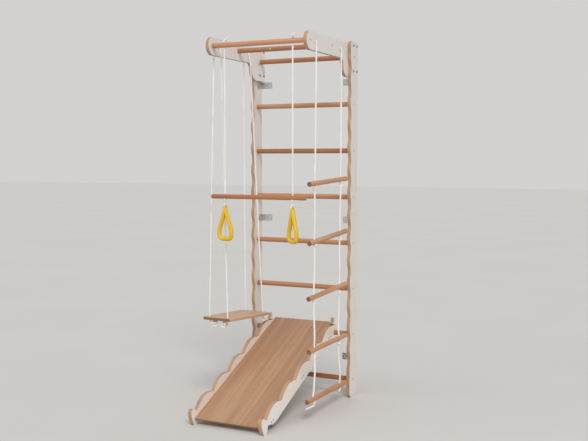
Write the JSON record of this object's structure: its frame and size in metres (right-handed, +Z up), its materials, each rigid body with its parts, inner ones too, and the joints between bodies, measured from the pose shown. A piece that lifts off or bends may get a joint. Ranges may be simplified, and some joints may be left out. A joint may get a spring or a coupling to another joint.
{
  "type": "indoor climbing wall",
  "caption": "Indoor wall bars with round rungs, canopy with pull-up bar, rope ladder, swing, trapeze with rings and a hook-on slide",
  "frame": {"origin": "On the floor line in the plane of the wall, midway between the two side panels", "axes": "X along the wall to the right as seen from the room, +Y into the wall, +Z up"},
  "size_m": [0.7324, 1.0192, 2.16],
  "materials": {
    "white_plywood": "white laminated plywood with clear-lacquered edges",
    "beech_rungs": "turned beech, clear lacquer",
    "brown_board": "smooth lacquered board",
    "white_rope": "twisted white rope",
    "yellow_plastic": "moulded, satin",
    "white_plastic": "moulded, satin",
    "galvanised_steel": "zinc plated",
    "steel_fasteners": "zinc plated"
  },
  "bodies": {
    "frame": {"arm_lock_screws": "steel_fasteners", "bar_screws": "steel_fasteners", "bracket_screws": "steel_fasteners", "canopy_bolts": "steel_fasteners", "canopy_nuts": "steel_fasteners", "front_bar": "beech_rungs", "front_bar_knots": "white_rope", "ladder_top_knots": "white_rope", "left_canopy_arm": "white_plywood", "left_panel_lower": "white_plywood", "left_panel_upper": "white_plywood", "panel_dowels": "beech_rungs", "pull_up_bar": "beech_rungs", "pull_up_bar_caps": "white_plastic", "right_canopy_arm": "white_plywood", "right_panel_lower": "white_plywood", "right_panel_upper": "white_plywood", "rung_1": "beech_rungs", "rung_2": "beech_rungs", "rung_3": "beech_rungs", "rung_4": "beech_rungs", "rung_5": "beech_rungs", "rung_6": "beech_rungs", "rung_7": "beech_rungs", "rung_8": "beech_rungs", "rung_screws": "steel_fasteners", "swing_saddles": "white_rope", "wall_bracket_bottom_left": "galvanised_steel", "wall_bracket_bottom_right": "galvanised_steel", "wall_bracket_middle_left": "galvanised_steel", "wall_bracket_middle_right": "galvanised_steel", "wall_bracket_top_left": "galvanised_steel", "wall_bracket_top_right": "galvanised_steel"},
    "slide": {"slide_board": "brown_board", "slide_rail_left": "white_plywood", "slide_rail_right": "white_plywood", "slide_batten_lower": "brown_board", "slide_batten_middle": "brown_board", "slide_batten_upper": "brown_board", "slide_screws": "steel_fasteners"},
    "swing": {"swing_seat": "brown_board", "swing_rope_front": "white_rope", "swing_rope_rear": "white_rope"},
    "trapeze": {"trapeze_bar": "beech_rungs", "trapeze_rope_left": "white_rope", "trapeze_rope_right": "white_rope"},
    "left_ring_loop": {"ring_loop_left": "white_rope"},
    "left_ring": {"ring_left": "yellow_plastic"},
    "right_ring_loop": {"ring_loop_right": "white_rope"},
    "right_ring": {"ring_right": "yellow_plastic"},
    "ladder_1": {"ladder_rung_1": "beech_rungs", "ladder_ropes_1": "white_rope"},
    "ladder_2": {"ladder_rung_2": "beech_rungs", "ladder_ropes_2": "white_rope"},
    "ladder_3": {"ladder_rung_3": "beech_rungs", "ladder_ropes_3": "white_rope"},
    "ladder_4": {"ladder_rung_4": "beech_rungs", "ladder_ropes_4": "white_rope"},
    "ladder_5": {"ladder_rung_5": "beech_rungs", "ladder_ropes_5": "white_rope"}
  },
  "joints": [
    {"name": "trapeze_swing", "type": "hinge", "parent": "frame", "child": "trapeze", "pos_m": [0, -0.638, 2.0825], "axis": [1, 0, 0], "range_deg": [-45, 1]},
    {"name": "left_ring_swing", "type": "hinge", "parent": "trapeze", "child": "left_ring_loop", "pos_m": [-0.2195, -0.638, 1.207], "axis": [1, 0, 0], "range_deg": [-50, 2.5]},
    {"name": "left_ring_rock", "type": "hinge", "parent": "left_ring_loop", "child": "left_ring", "pos_m": [-0.2195, -0.638, 1.1825], "axis": [-0.1392, -0.9903, 0], "range_deg": [-20, 20]},
    {"name": "right_ring_swing", "type": "hinge", "parent": "trapeze", "child": "right_ring_loop", "pos_m": [0.212, -0.638, 1.207], "axis": [1, 0, 0], "range_deg": [-50, 50]},
    {"name": "right_ring_rock", "type": "hinge", "parent": "right_ring_loop", "child": "right_ring", "pos_m": [0.212, -0.638, 1.1825], "axis": [-0.5878, -0.809, 0], "range_deg": [-20, 20]},
    {"name": "swing", "type": "hinge", "parent": "frame", "child": "swing", "pos_m": [-0.304, -0.4, 2.046], "axis": [0, 1, 0], "range_deg": [-15, 45]},
    {"name": "ladder_swing", "type": "hinge", "parent": "frame", "child": "ladder_1", "pos_m": [0.326, -0.404, 2.105], "axis": [0, -1, 0], "range_deg": [-1.5, 40]},
    {"name": "ladder_fold_2", "type": "hinge", "parent": "ladder_1", "child": "ladder_2", "pos_m": [0.326, -0.4085, 1.30347], "axis": [0, -0.9991, -0.0419], "range_deg": [0, 45]},
    {"name": "ladder_fold_3", "type": "hinge", "parent": "ladder_2", "child": "ladder_3", "pos_m": [0.326, -0.4185, 0.9831], "axis": [0, -0.998, -0.0626], "range_deg": [0, 45]},
    {"name": "ladder_fold_4", "type": "hinge", "parent": "ladder_3", "child": "ladder_4", "pos_m": [0.326, -0.425, 0.67158], "axis": [0, -0.9994, -0.0355], "range_deg": [0, 45]},
    {"name": "ladder_fold_5", "type": "hinge", "parent": "ladder_4", "child": "ladder_5", "pos_m": [0.326, -0.4235, 0.36864], "axis": [0, -1, -0.0038], "range_deg": [0, 45]},
    {"name": "slide_tilt", "type": "hinge", "parent": "frame", "child": "slide", "pos_m": [0, -0.058, 0.386], "axis": [-1, 0, 0], "range_deg": [0, 15]}
  ]
}
